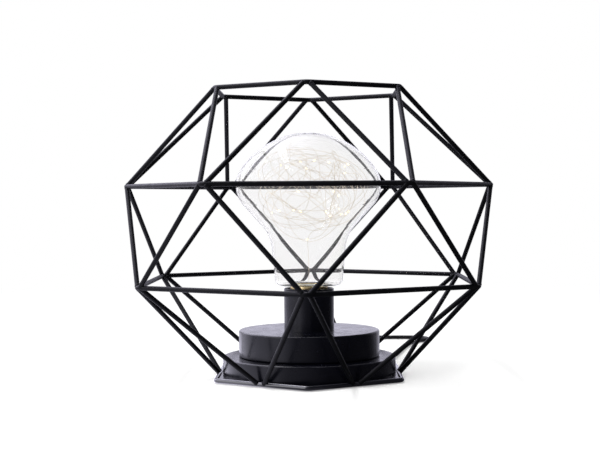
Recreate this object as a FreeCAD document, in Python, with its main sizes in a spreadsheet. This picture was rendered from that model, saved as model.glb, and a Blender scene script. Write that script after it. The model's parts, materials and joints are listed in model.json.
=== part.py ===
import FreeCAD, Part
import math
import os
import Sketcher

# Table lamp: a cage of welded hexagon wire rings round a fairy-light bulb, on a round stepped base.
# Origin at the middle of the base's underside, +Z up, front towards -Y. Millimetres.

V = FreeCAD.Vector
doc = FreeCAD.newDocument("cage_lamp")

# Driving dimensions
SIZES = {
    # wire cage
    "wire_dia": 3.2,
    "bend_radius": 4.5,
    "cage_radius": 125.0,
    "top_radius": 70.0,
    "foot_gap": 0.5,
    "foot_lift": 0.3,
    "lower_ring_z": 65.0,
    "upper_ring_z": 130.0,
    "top_ring_z": 194.0,
    "strut_offset": 2.2,
    "strut_inset": 0.6,
    "fit_gap": 0.05,
    # base
    "pad_radius": 50.0,
    "pad_thick": 1.2,
    "plate_thick": 1.2,
    "disc_radius": 59.0,
    "disc_height": 11.6,
    "drum_radius": 48.0,
    "drum_height": 17.7,
    "sheet_wall": 1.2,
    "edge_round": 1.1,
    "ballast_thick": 3.2,
    "ballast_gap": 7.0,
    "ballast_bore": 20.0,
    "post_circle": 38.0,
    "post_radius": 4.0,
    "screw_radius": 2.0,
    "head_radius": 3.6,
    "head_thick": 0.9,
    "head_gap": 0.4,
    # lampholder
    "nipple_radius": 5.0,
    "nipple_bore": 3.5,
    "nut_thick": 3.0,
    "nut_edge": 0.5,
    "nipple_stub": 0.8,
    "washer_thick": 1.0,
    "collar_radius": 17.0,
    "collar_height": 28.3,
    "collar_wall": 1.0,
    "socket_floor": 5.3,
    "nipple_grip": 4.0,
    "socket_height": 25.6,
    "shell_height": 17.0,
    "shell_wall": 0.5,
    "contact_rise": 2.8,
    "contact_gap": 0.2,
    "contact_thick": 0.5,
    # bulb
    "cap_radius": 13.0,
    "cap_clearance": 0.1,
    "cap_wall": 0.5,
    "cap_height": 16.7,
    "cap_cone": 5.0,
    "insulator_radius": 9.0,
    "insulator_height": 2.7,
    "tip_radius": 4.6,
    "tip_thick": 1.6,
    "neck_depth": 6.0,
    "board_thick": 1.2,
    "bulb_radius": 49.5,
    "bulb_height": 104.0,
    "girdle_rise": 68.0,
    "girdle_round": 20.0,
    "waist_rise": 24.0,
    "waist_radius": 25.2,
    "waist_round": 24.0,
    "shoulder_radius": 23.2,
    "shoulder_round": 4.5,
    "glass_wall": 1.0,
    "fairy_dia": 0.8,
    "bead_radius": 1.1,
    "bead_length": 2.6,
    # cord, switch and plug
    "cord_dia": 3.2,
    "exit_z": 7.5,
    "relief_radius": 3.2,
    "relief_length": 12.0,
    "relief_slack": 0.3,
    "flange_lip": 1.2,
    "flange_thick": 1.2,
    "lead_dia": 1.2,
    "switch_length": 46.0,
    "switch_width": 17.0,
    "switch_height": 11.0,
    "switch_skin": 1.5,
    "switch_edge": 1.4,
    "cavity_gap": 0.8,
    "seat_depth": 1.6,
    "small_head": 1.2,
    "screw_bite": 2.5,
    "window_length": 20.6,
    "window_width": 9.4,
    "rocker_gap": 0.45,
    "rocker_top": 4.2,
    "rocker_dip": 2.9,
    "rocker_side": 0.4,
    "rocker_keel": 2.0,
    "pin_radius": 1.0,
    "pin_bite": 2.4,
    "plug_width": 16.0,
    "plug_length": 25.0,
    "plug_height": 8.0,
    "plug_edge": 1.6,
    "metal_width": 12.0,
    "metal_height": 4.5,
    "metal_length": 14.0,
    "metal_wall": 0.3,
    "coil_inner": 8.0,
    "coil_gap": 0.5,
    "tie_thick": 0.7,
    "tie_gap": 0.3,
    "tie_width": 6.0,
}

sheet = doc.addObject("Spreadsheet::Sheet", "sizes")
for row, (name, number) in enumerate(SIZES.items(), 1):
    sheet.set("A%d" % row, name)
    sheet.set("B%d" % row, str(number))
    sheet.setAlias("B%d" % row, name)
doc.recompute()


def value(expression):
    """Number of an expression in the driving dimensions."""
    return float(sheet.evalExpression(expression))


def size(name):
    return float(sheet.get(name))


# Heights and radii that several pieces share, as expressions
WIRE = "(sizes.wire_dia / 2)"
FOOT_Z = "(sizes.foot_lift + sizes.wire_dia / 2)"
FOOT_APOTHEM = "(sizes.disc_radius + sizes.foot_gap + sizes.wire_dia / 2)"
PLATE_TOP = "(sizes.pad_thick + sizes.plate_thick)"
DISC_TOP = "(%s + sizes.disc_height)" % PLATE_TOP
DISC_UNDER = "(%s - sizes.sheet_wall)" % DISC_TOP
DRUM_TOP = "(%s + sizes.drum_height)" % DISC_TOP
COLLAR_TOP = "(%s + sizes.collar_height)" % DRUM_TOP
HOLE = "(sizes.nipple_radius + sizes.fit_gap)"
SEAT = "(%s + sizes.collar_wall)" % DRUM_TOP
FLOOR = "(%s + sizes.socket_floor)" % SEAT
SHELL_BORE = "(sizes.cap_radius + sizes.cap_clearance)"
SHELL_OUT = "(%s + sizes.shell_wall)" % SHELL_BORE
CONTACT_TOP = "(%s + sizes.contact_rise)" % FLOOR
TIP = "(%s + sizes.contact_gap)" % CONTACT_TOP
TIP_TOP = "(%s + sizes.tip_thick)" % TIP
CAP_BOTTOM = "(%s + sizes.insulator_height)" % TIP_TOP
CAP_TOP = "(%s + sizes.cap_height)" % CAP_BOTTOM
CAP_IN = "(sizes.cap_radius - sizes.cap_wall)"
NECK_END = "(%s - sizes.neck_depth)" % CAP_TOP
HALF = "(sizes.switch_height / 2)"


def plane(body, role):
    return [f for f in body.Origin.OriginFeatures if f.Role == role][0]


def new_sketch(body, name, role, offset=None):
    sketch = body.newObject("Sketcher::SketchObject", name)
    sketch.AttachmentSupport = (plane(body, role), "")
    sketch.MapMode = "FlatFace"
    if offset:
        sketch.setExpression("AttachmentOffset.Base.z", offset)
    return sketch


def bind(sketch, kind, where, expression):
    """A dimension in a sketch, driven by an expression."""
    number = sketch.addConstraint(Sketcher.Constraint(kind, *where, value(expression)))
    sketch.setExpression("Constraints[%d]" % number, expression)


def pin_point(sketch, line, end, x, y):
    if x == "0":
        sketch.addConstraint(Sketcher.Constraint("PointOnObject", line, end, -2))
    else:
        bind(sketch, "DistanceX", (-1, 1, line, end), x)
    if y == "0":
        sketch.addConstraint(Sketcher.Constraint("PointOnObject", line, end, -1))
    else:
        bind(sketch, "DistanceY", (-1, 1, line, end), y)


def polygon(sketch, corners):
    """Closed outline through corners given as pairs of expressions."""
    points = [V(value(x), value(y), 0) for x, y in corners]
    count = len(points)
    lines = []
    for k in range(count):
        side = Part.LineSegment(points[k], points[(k + 1) % count])
        lines.append(sketch.addGeometry(side, False))
    for k in range(count):
        sketch.addConstraint(Sketcher.Constraint("Coincident", lines[k], 2, lines[(k + 1) % count], 1))
    for k, (x, y) in enumerate(corners):
        pin_point(sketch, lines[k], 1, x, y)


def circles(sketch, places, radius):
    for x, y in places:
        circle = sketch.addGeometry(Part.Circle(V(value(x), value(y), 0), V(0, 0, 1), value(radius)), False)
        pin_point(sketch, circle, 3, x, y)
        bind(sketch, "Radius", (circle,), radius)


def hexagon(sketch, apothem, bend, turn):
    """Hexagon with rounded corners; one corner lies at the angle turn."""
    flat = value(apothem)
    fillet = value(bend)
    reach = flat / math.cos(math.radians(30))
    cut = fillet * math.tan(math.radians(30))
    shrink = (reach - fillet / math.cos(math.radians(30))) / reach
    corners = [V(reach, 0, 0)] * 6
    for k in range(6):
        angle = math.radians(turn + 60 * k)
        corners[k] = V(reach * math.cos(angle), reach * math.sin(angle), 0)
    lines = []
    arcs = []
    for k in range(6):
        step = (corners[k] - corners[k - 1]).normalize()
        side = Part.LineSegment(corners[k - 1] + step * cut, corners[k] - step * cut)
        start = math.radians(turn + 60 * k - 30)
        bend_circle = Part.Circle(corners[k] * shrink, V(0, 0, 1), fillet)
        corner = Part.ArcOfCircle(bend_circle, start, start + math.pi / 3)
        lines.append(sketch.addGeometry(side, False))
        arcs.append(sketch.addGeometry(corner, False))
    for k in range(6):
        sketch.addConstraint(Sketcher.Constraint("Tangent", lines[k], 2, arcs[k], 1))
        sketch.addConstraint(Sketcher.Constraint("Tangent", arcs[k], 2, lines[(k + 1) % 6], 1))
    for k in range(6):
        step = corners[k] - corners[k - 1]
        bind(sketch, "Distance", (-1, 1, lines[k]), apothem)
        bind(sketch, "Radius", (arcs[k],), bend)
        sketch.addConstraint(Sketcher.Constraint("Angle", lines[k], math.atan2(step.y, step.x)))


def new_body(name):
    return doc.addObject("PartDesign::Body", name)


def turned(name, outline):
    """Body of revolution about Z from an outline of (radius, height) expressions."""
    body = new_body(name)
    sketch = new_sketch(body, name + "_profile", "XZ_Plane")
    polygon(sketch, outline)
    turn = body.newObject("PartDesign::Revolution", name + "_turned")
    turn.Profile = sketch
    turn.ReferenceAxis = (sketch, ["V_Axis"])
    turn.Angle = 360
    doc.recompute()
    return body


def padded(body, sketch, length, name):
    pad = body.newObject("PartDesign::Pad", name)
    pad.Profile = sketch
    pad.setExpression("Length", length)
    doc.recompute()
    return pad


def pocketed(body, sketch, length, name, upward=False):
    pocket = body.newObject("PartDesign::Pocket", name)
    pocket.Profile = sketch
    pocket.Reversed = upward
    pocket.setExpression("Length", length)
    doc.recompute()
    return pocket


def rounded(body, chosen, radius, name):
    """Fillet the edges of the body's last feature that chosen() accepts."""
    base = body.Tip
    names = ["Edge%d" % (k + 1) for k, edge in enumerate(base.Shape.Edges) if chosen(edge)]
    fillet = body.newObject("PartDesign::Fillet", name)
    fillet.Base = (base, names)
    fillet.setExpression("Radius", radius)
    doc.recompute()


def ring_edge(radius, height):
    """Chooser for the round edge of the given radius and height."""
    def chosen(edge):
        curve = edge.Curve
        if not isinstance(curve, Part.Circle):
            return False
        return abs(curve.Radius - value(radius)) < 1e-3 and abs(curve.Center.z - value(height)) < 1e-3
    return chosen


def along(axis):
    """Chooser for straight edges in one direction."""
    def chosen(edge):
        return isinstance(edge.Curve, Part.Line) and abs(abs(edge.Curve.Direction.dot(axis)) - 1) < 1e-6
    return chosen


def solid_cut(name, base, tools):
    """The base with the tools taken away, under the given name."""
    tool = tools[0]
    if len(tools) > 1:
        tool = doc.addObject("Part::Compound", name + "_tools")
        tool.Links = tools
    cut = doc.addObject("Part::Cut", name)
    cut.Base = base
    cut.Tool = tool
    doc.recompute()
    return cut


def rod(name, start, end, radius):
    """Round bar between two points, its radius an expression."""
    bar = doc.addObject("Part::Cylinder", name)
    bar.setExpression("Radius", radius)
    bar.Height = (end - start).Length
    bar.Placement = FreeCAD.Placement(start, FreeCAD.Rotation(V(0, 0, 1), end - start))
    return bar


def block(name, expressions, corner):
    """Box with bound sides; corner is the expression triple of its least corner."""
    box = doc.addObject("Part::Box", name)
    for side, expression in zip(("Length", "Width", "Height"), expressions):
        box.setExpression(side, expression)
    for letter, expression in zip("xyz", corner):
        box.setExpression("Placement.Base." + letter, expression)
    return box


nodes = []


def node(name, shape_object):
    shape_object.Label = name
    nodes.append((name, shape_object))


# Cage rings: each one bent wire, its section swept round a hexagon with bent corners
def wire_ring(name, apothem, height, turn):
    body = new_body(name + "_body")
    path = new_sketch(body, name + "_path", "XY_Plane", height)
    hexagon(path, apothem, "sizes.bend_radius", turn)
    side_plane = "XZ_Plane" if turn == 30 else "YZ_Plane"
    section = new_sketch(body, name + "_section", side_plane)
    circles(section, [(apothem, height)], WIRE)
    doc.recompute()
    pipe = body.newObject("PartDesign::AdditivePipe", name + "_wire")
    pipe.Profile = section
    pipe.Spine = (path, [])
    doc.recompute()
    node(name, body)
    return body


COS30 = "sqrt(3) / 2"
CAGE_APOTHEM = "(sizes.cage_radius * %s)" % COS30
TOP_APOTHEM = "(sizes.top_radius * %s)" % COS30
rings = {
    "foot": wire_ring("foot_ring", FOOT_APOTHEM, FOOT_Z, 30),
    "lower": wire_ring("lower_ring", CAGE_APOTHEM, "sizes.lower_ring_z", 30),
    "upper": wire_ring("upper_ring", CAGE_APOTHEM, "sizes.upper_ring_z", 0),
    "top": wire_ring("top_ring", TOP_APOTHEM, "sizes.top_ring_z", 30),
}


# Cage struts: pairs of straight rods, their ends coped to the ring wires they are welded to
def polar(radius, degrees, height):
    angle = math.radians(degrees)
    return V(radius * math.cos(angle), radius * math.sin(angle), height)


def near_corner(radius, degrees, height, side):
    """Point on a ring's wire a little beside its corner, towards the next or the last corner."""
    corner = polar(radius, degrees, height)
    return corner + (polar(radius, degrees + 60 * side, height) - corner).normalize() * size("strut_offset")


def near_middle(apothem, degrees, height, side):
    """Point on a ring's wire a little beside the middle of one of its sides."""
    along_side = polar(1, degrees + 90, 0) * side
    return polar(apothem, degrees, height) + along_side * size("strut_offset")


def strut_pair(name, ends, upper, lower):
    bars = []
    for number, (start, end) in enumerate(ends, 1):
        inset = (end - start).normalize() * size("strut_inset")
        bar = rod("%s_bar_%d" % (name, number), start + inset, end - inset, WIRE)
        bars.append(solid_cut("%s_rod_%d" % (name, number), bar, [upper, lower]))
    pair = doc.addObject("Part::Compound", name)
    pair.Links = bars
    doc.recompute()
    node(name, pair)


CAGE = size("cage_radius")
TOP = size("top_radius")
Z_TOP = size("top_ring_z")
Z_UPPER = size("upper_ring_z")
Z_LOWER = size("lower_ring_z")
Z_FOOT = value(FOOT_Z)
for k in range(6):
    corner_angle = 30 + 60 * k
    upper_ends = []
    middle_ends = []
    lower_ends = []
    for side in (1, -1):
        neighbour = corner_angle + 30 * side
        upper_corner = near_corner(CAGE, neighbour, Z_UPPER, -side)
        upper_ends.append((upper_corner, near_corner(TOP, corner_angle, Z_TOP, side)))
        middle_ends.append((near_corner(CAGE, corner_angle, Z_LOWER, side), upper_corner))
        foot_end = near_middle(value(FOOT_APOTHEM), neighbour, Z_FOOT, -side)
        lower_ends.append((foot_end, near_corner(CAGE, corner_angle, Z_LOWER, side)))
    strut_pair("upper_strut_pair_%d" % (k + 1), upper_ends, rings["top"], rings["upper"])
    strut_pair("middle_strut_pair_%d" % (k + 1), middle_ends, rings["upper"], rings["lower"])
    strut_pair("lower_strut_pair_%d" % (k + 1), lower_ends, rings["lower"], rings["foot"])


# Base: felt pad, hexagon plate welded into the foot ring, pressed disc and drum, weight and screws
POSTS = []
for degrees in (0, 120, 240):
    angle = "%d deg" % degrees
    POSTS.append(("sizes.post_circle * cos(%s)" % angle, "sizes.post_circle * sin(%s)" % angle))
POSTS[0] = ("sizes.post_circle", "0")

pad_body = new_body("pad_body")
sketch = new_sketch(pad_body, "pad_outline", "XY_Plane")
circles(sketch, [("0", "0")], "sizes.pad_radius")
circles(sketch, POSTS, "sizes.head_radius + sizes.head_gap")
padded(pad_body, sketch, "sizes.pad_thick", "pad_felt")
node("base_pad", pad_body)

plate_body = new_body("plate_body")
sketch = new_sketch(plate_body, "plate_outline", "XY_Plane", "sizes.pad_thick")
hexagon(sketch, "%s - %s - sizes.fit_gap" % (FOOT_APOTHEM, WIRE), "sizes.bend_radius", 30)
circles(sketch, POSTS, "sizes.screw_radius + sizes.fit_gap")
padded(plate_body, sketch, "sizes.plate_thick", "plate_sheet")
node("bottom_plate", plate_body)

disc_body = turned("disc_body", [
    (HOLE, DISC_TOP),
    ("sizes.disc_radius", DISC_TOP),
    ("sizes.disc_radius", PLATE_TOP),
    ("sizes.disc_radius - sizes.sheet_wall", PLATE_TOP),
    ("sizes.disc_radius - sizes.sheet_wall", DISC_UNDER),
    (HOLE, DISC_UNDER),
])
rounded(disc_body, ring_edge("sizes.disc_radius", DISC_TOP), "sizes.edge_round", "disc_edge")

EXIT_ANGLE = 48
EXIT = polar(1, EXIT_ANGLE, 0)
EXIT_Z = V(0, 0, size("exit_z"))
disc_in = size("disc_radius") - size("sheet_wall")
gland_hole = rod(
    "gland_hole",
    EXIT * (disc_in - 3) + EXIT_Z,
    EXIT * (size("disc_radius") + 3) + EXIT_Z,
    "sizes.relief_radius + sizes.fit_gap",
)
node("base_disc", solid_cut("disc_shell", disc_body, [gland_hole]))

drum_body = turned("drum_body", [
    (HOLE, DRUM_TOP),
    ("sizes.drum_radius", DRUM_TOP),
    ("sizes.drum_radius", DISC_TOP),
    ("sizes.drum_radius - sizes.sheet_wall", DISC_TOP),
    ("sizes.drum_radius - sizes.sheet_wall", "%s - sizes.sheet_wall" % DRUM_TOP),
    (HOLE, "%s - sizes.sheet_wall" % DRUM_TOP),
])
rounded(drum_body, ring_edge("sizes.drum_radius", DRUM_TOP), "sizes.edge_round", "drum_upper_edge")
rounded(drum_body, ring_edge("sizes.drum_radius", DISC_TOP), "sizes.edge_round", "drum_lower_edge")
node("drum", drum_body)

ballast_body = new_body("ballast_body")
sketch = new_sketch(ballast_body, "ballast_outline", "XY_Plane", PLATE_TOP)
circles(sketch, [("0", "0")], "sizes.disc_radius - sizes.ballast_gap")
circles(sketch, [("0", "0")], "sizes.ballast_bore")
circles(sketch, POSTS, "sizes.post_radius + sizes.fit_gap")
padded(ballast_body, sketch, "sizes.ballast_thick", "ballast_ring")
node("ballast", ballast_body)

post_body = new_body("post_body")
sketch = new_sketch(post_body, "post_outline", "XY_Plane", PLATE_TOP)
circles(sketch, POSTS, "sizes.post_radius")
circles(sketch, POSTS, "sizes.screw_radius + sizes.fit_gap")
post_body.AllowCompound = True
padded(post_body, sketch, "%s - %s" % (DISC_UNDER, PLATE_TOP), "post_tubes")
node("plate_posts", post_body)

screws = []
for number, (x, y) in enumerate(POSTS, 1):
    head = doc.addObject("Part::Cylinder", "screw_head_%d" % number)
    head.setExpression("Radius", "sizes.head_radius")
    head.setExpression("Height", "sizes.head_thick")
    head.Placement.Base = V(value(x), value(y), size("pad_thick") - size("head_thick"))
    shank = doc.addObject("Part::Cylinder", "screw_shank_%d" % number)
    shank.setExpression("Radius", "sizes.screw_radius")
    shank.setExpression("Height", "sizes.disc_height * 0.7")
    shank.Placement.Base = V(value(x), value(y), size("pad_thick"))
    screw = doc.addObject("Part::Fuse", "screw_%d" % number)
    screw.Base = head
    screw.Tool = shank
    screws.append(screw)
screw_set = doc.addObject("Part::Compound", "screw_set")
screw_set.Links = screws
node("plate_screws", screw_set)


# Lampholder: hollow nipple with washer and nut, painted collar, insulator, screw shell and contact leaf
NIPPLE_END = "(%s - sizes.washer_thick - sizes.nut_thick - sizes.nipple_stub)" % DISC_UNDER
NIPPLE_TOP = "(%s + sizes.nipple_grip)" % SEAT
node("nipple", turned("nipple_body", [
    ("sizes.nipple_bore", NIPPLE_END),
    ("sizes.nipple_radius", NIPPLE_END),
    ("sizes.nipple_radius", NIPPLE_TOP),
    ("sizes.nipple_bore", NIPPLE_TOP),
]))
WASHER_UNDER = "(%s - sizes.washer_thick)" % DISC_UNDER
node("nipple_washer", turned("washer_body", [
    (HOLE, WASHER_UNDER),
    ("sizes.nipple_radius * 2", WASHER_UNDER),
    ("sizes.nipple_radius * 2", DISC_UNDER),
    (HOLE, DISC_UNDER),
]))
nut_body = new_body("nut_body")
sketch = new_sketch(nut_body, "nut_outline", "XY_Plane", "%s - sizes.nut_thick" % WASHER_UNDER)
hexagon(sketch, "sizes.nipple_radius * 1.6", "sizes.nut_edge", 30)
circles(sketch, [("0", "0")], HOLE)
padded(nut_body, sketch, "sizes.nut_thick", "nut_hex")
node("nipple_nut", nut_body)

collar_body = turned("collar_body", [
    (HOLE, DRUM_TOP),
    ("sizes.collar_radius", DRUM_TOP),
    ("sizes.collar_radius", COLLAR_TOP),
    ("sizes.collar_radius - sizes.collar_wall", COLLAR_TOP),
    ("sizes.collar_radius - sizes.collar_wall", SEAT),
    (HOLE, SEAT),
])
rounded(collar_body, ring_edge("sizes.collar_radius", COLLAR_TOP), "sizes.collar_wall * 0.4", "collar_lip")
node("socket_collar", collar_body)

SLEEVE = "(sizes.collar_radius - sizes.collar_wall - sizes.fit_gap)"
node("socket_insulator", turned("insulator_body", [
    (HOLE, SEAT),
    (SLEEVE, SEAT),
    (SLEEVE, "%s + sizes.socket_height" % SEAT),
    ("%s + sizes.fit_gap" % SHELL_OUT, "%s + sizes.socket_height" % SEAT),
    ("%s + sizes.fit_gap" % SHELL_OUT, FLOOR),
    ("0", FLOOR),
    ("0", NIPPLE_TOP),
    (HOLE, NIPPLE_TOP),
]))
node("screw_shell", turned("shell_body", [
    (SHELL_BORE, FLOOR),
    (SHELL_OUT, FLOOR),
    (SHELL_OUT, "%s + sizes.shell_height" % FLOOR),
    (SHELL_BORE, "%s + sizes.shell_height" % FLOOR),
]))

contact_body = new_body("contact_body")
sketch = new_sketch(contact_body, "contact_outline", "XZ_Plane")
LEAF_UNDER = "%s - sizes.contact_thick" % CONTACT_TOP
polygon(sketch, [
    ("-sizes.tip_radius * 1.8", FLOOR),
    ("-sizes.tip_radius * 0.7", FLOOR),
    ("sizes.tip_radius * 0.1", LEAF_UNDER),
    ("sizes.tip_radius", LEAF_UNDER),
    ("sizes.tip_radius", CONTACT_TOP),
    ("-sizes.tip_radius * 0.05", CONTACT_TOP),
    ("-sizes.tip_radius * 0.85", "%s + sizes.contact_thick" % FLOOR),
    ("-sizes.tip_radius * 1.8", "%s + sizes.contact_thick" % FLOOR),
])
padded(contact_body, sketch, "sizes.tip_radius", "contact_leaf")
contact_body.setExpression("Placement.Base.y", "sizes.tip_radius / 2")
node("centre_contact", contact_body)


# Bulb: blown glass, brass cap with its insulator and tip, board that the light string is fixed to
def glass_outline(body, name, wall):
    """Dome, girdle, cone, waist, neck, shoulder and neck tube, all drawn in by wall."""
    sketch = new_sketch(body, name, "XZ_Plane")
    ledge_z = "%s + %s" % (CAP_TOP, wall)
    top_z = "%s + sizes.bulb_height - %s" % (CAP_TOP, wall)
    girdle_r = "sizes.girdle_round - %s" % wall
    waist_r = "sizes.waist_round + %s" % wall
    shoulder_r = "sizes.shoulder_round - %s" % wall
    tube_r = "%s - sizes.fit_gap - %s" % (CAP_IN, wall)
    girdle_x = "sizes.bulb_radius - sizes.girdle_round"
    girdle_z = "%s + sizes.girdle_rise" % CAP_TOP
    waist_x = "sizes.waist_radius + sizes.waist_round"
    waist_z = "%s + sizes.waist_rise" % CAP_TOP
    shoulder_x = "sizes.shoulder_radius - sizes.shoulder_round"
    base = value(ledge_z)
    top = value(top_z)
    girdle = value(girdle_r)
    waist = value(waist_r)
    shoulder = value(shoulder_r)
    girdle_mid = V(value(girdle_x), value(girdle_z), 0)
    waist_mid = V(value(waist_x), value(waist_z), 0)
    shoulder_mid = V(value(shoulder_x), base + shoulder, 0)
    rest = top - girdle
    dome_z = (rest ** 2 - girdle_mid.x ** 2 - girdle_mid.y ** 2) / (2 * (rest - girdle_mid.y))
    dome_mid = V(0, dome_z, 0)
    meet = math.atan2(girdle_mid.y - dome_z, girdle_mid.x)
    between = waist_mid - girdle_mid
    swing = math.acos((girdle + waist) / between.Length)
    lean = math.atan2(between.y, between.x) + swing
    outward = V(math.cos(lean), math.sin(lean), 0)
    cone_top = girdle_mid + outward * girdle
    cone_end = waist_mid - outward * waist
    drop = shoulder_mid - waist_mid
    tilt = math.atan2(drop.y, drop.x) - math.acos((waist + shoulder) / drop.Length) + 2 * math.pi
    facing = V(math.cos(tilt), math.sin(tilt), 0)
    neck_top = waist_mid + facing * waist
    neck_end = shoulder_mid - facing * shoulder
    tube = value(tube_r)
    end = value(NECK_END)

    def arc(middle, radius, start, finish):
        circle = Part.Circle(middle, V(0, 0, 1), radius)
        return sketch.addGeometry(Part.ArcOfCircle(circle, start, finish), False)

    def line(start, finish):
        return sketch.addGeometry(Part.LineSegment(start, finish), False)

    dome = arc(dome_mid, top - dome_z, meet, math.pi / 2)
    belly = arc(girdle_mid, girdle, lean, meet)
    cone = line(cone_top, cone_end)
    hollow = arc(waist_mid, waist, lean + math.pi, tilt)
    neck = line(neck_top, neck_end)
    turn = arc(shoulder_mid, shoulder, -math.pi / 2, math.atan2(-facing.y, -facing.x))
    ledge = line(V(shoulder_mid.x, base, 0), V(tube, base, 0))
    side = line(V(tube, base, 0), V(tube, end, 0))
    floor = line(V(tube, end, 0), V(0, end, 0))
    axis = line(V(0, end, 0), V(0, top, 0))
    for joint in ((dome, 1, belly, 2), (belly, 1, cone, 1), (cone, 2, hollow, 1), (hollow, 2, neck, 1),
                  (neck, 2, turn, 2), (turn, 1, ledge, 1)):
        sketch.addConstraint(Sketcher.Constraint("Tangent", *joint))
    for joint in ((ledge, 2, side, 1), (side, 2, floor, 1), (floor, 2, axis, 1), (axis, 2, dome, 2)):
        sketch.addConstraint(Sketcher.Constraint("Coincident", *joint))
    for spot in ((axis, 1), (axis, 2), (dome, 3)):
        sketch.addConstraint(Sketcher.Constraint("PointOnObject", *spot, -2))
    bind(sketch, "DistanceY", (-1, 1, axis, 2), top_z)
    pin_point(sketch, belly, 3, girdle_x, girdle_z)
    bind(sketch, "Radius", (belly,), girdle_r)
    pin_point(sketch, hollow, 3, waist_x, waist_z)
    bind(sketch, "Radius", (hollow,), waist_r)
    bind(sketch, "Radius", (turn,), shoulder_r)
    bind(sketch, "DistanceX", (-1, 1, turn, 3), shoulder_x)
    sketch.addConstraint(Sketcher.Constraint("Horizontal", ledge))
    bind(sketch, "DistanceY", (-1, 1, ledge, 2), ledge_z)
    sketch.addConstraint(Sketcher.Constraint("Vertical", side))
    bind(sketch, "DistanceX", (-1, 1, side, 2), tube_r)
    sketch.addConstraint(Sketcher.Constraint("Horizontal", floor))
    bind(sketch, "DistanceY", (-1, 1, floor, 2), NECK_END)
    return sketch


glass_body = new_body("glass_body")
glass_steps = (
    ("Revolution", "glass_outside", "0"),
    ("Groove", "glass_inside", "sizes.glass_wall"),
)
for kind, name, wall in glass_steps:
    outline = glass_outline(glass_body, name + "_profile", wall)
    turn = glass_body.newObject("PartDesign::" + kind, name)
    turn.Profile = outline
    turn.ReferenceAxis = (outline, ["V_Axis"])
    turn.Angle = 360
    doc.recompute()
    print(name, "volume", round(glass_body.Shape.Volume))
node("bulb_glass", glass_body)

LIP = "(%s + sizes.insulator_height * 0.5)" % CAP_BOTTOM
CONE_TOP = "(%s + sizes.cap_cone)" % LIP
node("bulb_cap", turned("cap_body", [
    (CAP_IN, CAP_TOP),
    ("sizes.cap_radius", CAP_TOP),
    ("sizes.cap_radius", CONE_TOP),
    ("sizes.insulator_radius + sizes.cap_wall", LIP),
    ("sizes.insulator_radius + sizes.cap_wall", CAP_BOTTOM),
    ("sizes.insulator_radius", CAP_BOTTOM),
    ("sizes.insulator_radius", LIP),
    (CAP_IN, CONE_TOP),
]))
node("cap_insulator", turned("vitrite_body", [
    ("0", TIP_TOP),
    ("sizes.tip_radius + 1", TIP_TOP),
    ("sizes.insulator_radius - sizes.fit_gap", CAP_BOTTOM),
    ("sizes.insulator_radius - sizes.fit_gap", LIP),
    ("0", LIP),
]))
tip_body = turned("tip_body", [
    ("0", TIP),
    ("sizes.tip_radius", TIP),
    ("sizes.tip_radius", TIP_TOP),
    ("0", TIP_TOP),
])
rounded(tip_body, ring_edge("sizes.tip_radius", TIP), "sizes.tip_thick * 0.6", "tip_edge")
node("tip_contact", tip_body)
BOARD_UNDER = "(%s - sizes.board_thick)" % NECK_END
node("driver_board", turned("board_body", [
    ("0", BOARD_UNDER),
    ("%s - sizes.fit_gap" % CAP_IN, BOARD_UNDER),
    ("%s - sizes.fit_gap" % CAP_IN, NECK_END),
    ("0", NECK_END),
]))


# Tubes along a path: straight runs with tangent arcs, and wound turns as pairs of arcs
def rounded_path(points, label):
    """Edges of straight runs joined by tangent arcs."""
    edges = []
    radii = []
    last = points[0]
    for before, here, after in zip(points, points[1:], points[2:]):
        come = here - before
        leave = after - here
        half_turn = come.getAngle(leave) / 2
        trim = 0.45 * min(come.Length, leave.Length)
        come.normalize()
        leave.normalize()
        radius = trim / math.tan(half_turn)
        radii.append(radius)
        inward = (leave - come).normalize()
        middle = here + inward * (radius / math.cos(half_turn) - radius)
        start = here - come * trim
        end = here + leave * trim
        edges.append(Part.LineSegment(last, start).toShape())
        edges.append(Part.Arc(start, middle, end).toShape())
        last = end
    edges.append(Part.LineSegment(last, points[-1]).toShape())
    print(label, "bend radii", [round(r, 1) for r in radii])
    return edges


def paired_arcs(start, start_way, end, end_way):
    """Two arcs that leave start and reach end in the given directions."""
    across = end - start
    ways = start_way + end_way
    a = 2 * (1 - start_way.dot(end_way))
    b = 2 * across.dot(ways)
    c = across.dot(across)
    if a < 1e-9:
        reach = c / b
    else:
        reach = (-b + math.sqrt(b * b + 4 * a * c)) / (2 * a)
    middle = (start + start_way * reach + end - end_way * reach) * 0.5
    edges = []
    for first, last, way, sign in ((start, middle, start_way, 1), (end, middle, end_way, -1)):
        chord = last - first
        tangent = way * sign
        angle = tangent.getAngle(chord)
        bow = chord.cross(tangent).cross(chord)
        sagitta = chord.Length / 2 * math.tan(angle / 2)
        halfway = (first + last) * 0.5 + bow.normalize() * sagitta
        if sign > 0:
            edges.append(Part.Arc(first, halfway, last).toShape())
        else:
            edges.append(Part.Arc(last, halfway, first).toShape())
    return edges


def tube(edges, radius, sides=0):
    """Solid round tube along the edges; with sides its section is a polygon of the same area."""
    wire = Part.Wire(edges)
    first = edges[0]
    start = first.valueAt(first.FirstParameter)
    way = first.tangentAt(first.FirstParameter)
    if sides:
        turn = FreeCAD.Rotation(V(0, 0, 1), way)
        reach = radius * math.sqrt(2 * math.pi / (sides * math.sin(2 * math.pi / sides)))
        corners = [start + turn.multVec(polar(reach, 360.0 * k / sides, 0)) for k in range(sides)]
        section = Part.makePolygon(corners + corners[:1])
    else:
        section = Part.Wire(Part.makeCircle(radius, start, way))
    solid = wire.makePipeShell([section], True, False)
    expected = math.pi * radius ** 2 * wire.Length
    print("tube length %.1f, volume ratio %.4f" % (wire.Length, solid.Volume / expected))
    return solid


def feature(name, shape):
    made = doc.addObject("Part::Feature", name)
    made.Shape = shape
    return made


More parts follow.
